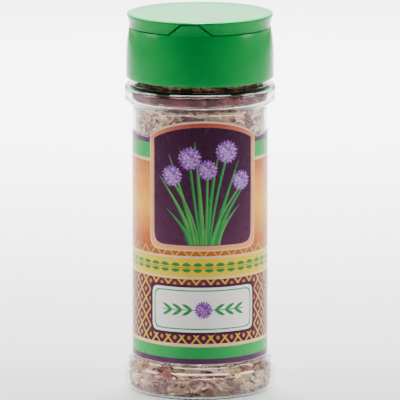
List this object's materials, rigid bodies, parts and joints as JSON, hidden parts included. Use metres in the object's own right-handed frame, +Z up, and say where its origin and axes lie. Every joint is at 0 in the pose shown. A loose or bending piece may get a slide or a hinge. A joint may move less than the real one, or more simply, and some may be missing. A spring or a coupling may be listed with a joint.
{
  "type": "herb shaker jar",
  "caption": "Clear plastic shaker jar of dried chopped chives, with a wrapped printed label and a green screw cap whose full-width lid flips up off round sifter holes.",
  "frame": {"origin": "the middle of the flat ring that the jar stands on", "axes": "+Z up along the jar's axis, -Y out of the front of the label, +X to the viewer's right"},
  "size_m": [0.0476, 0.0476, 0.121],
  "materials": {
    "clear_plastic": "gloss",
    "green_plastic": "gloss",
    "printed_label": "satin",
    "seal_foam": "matte",
    "dried_chives": "matte"
  },
  "bodies": {
    "jar": {"jar": "clear_plastic", "label": "printed_label", "chive_fill": "dried_chives"},
    "ring": {"seal_ring": "seal_foam"},
    "cap": {"cap_body": "green_plastic"},
    "lid": {"flip_lid": "green_plastic"}
  },
  "joints": [
    {"name": "cap_lift", "type": "slide", "parent": "jar", "child": "ring", "axis": [0, 0, 1], "range_m": [0, 0.0053]},
    {"name": "cap_turn", "type": "hinge", "parent": "ring", "child": "cap", "pos_m": [0, 0, 0.1143], "axis": [0, 0, 1], "range_deg": [0, 450]},
    {"name": "lid_open", "type": "hinge", "parent": "cap", "child": "lid", "pos_m": [0.00321, 0.02252, 0.1167], "axis": [-0.99, 0.1409, 0], "range_deg": [0, 135]}
  ],
  "couplings": [
    {"joint": "cap_lift", "follows": "cap_turn", "m_per_rad": 0.00067376}
  ]
}
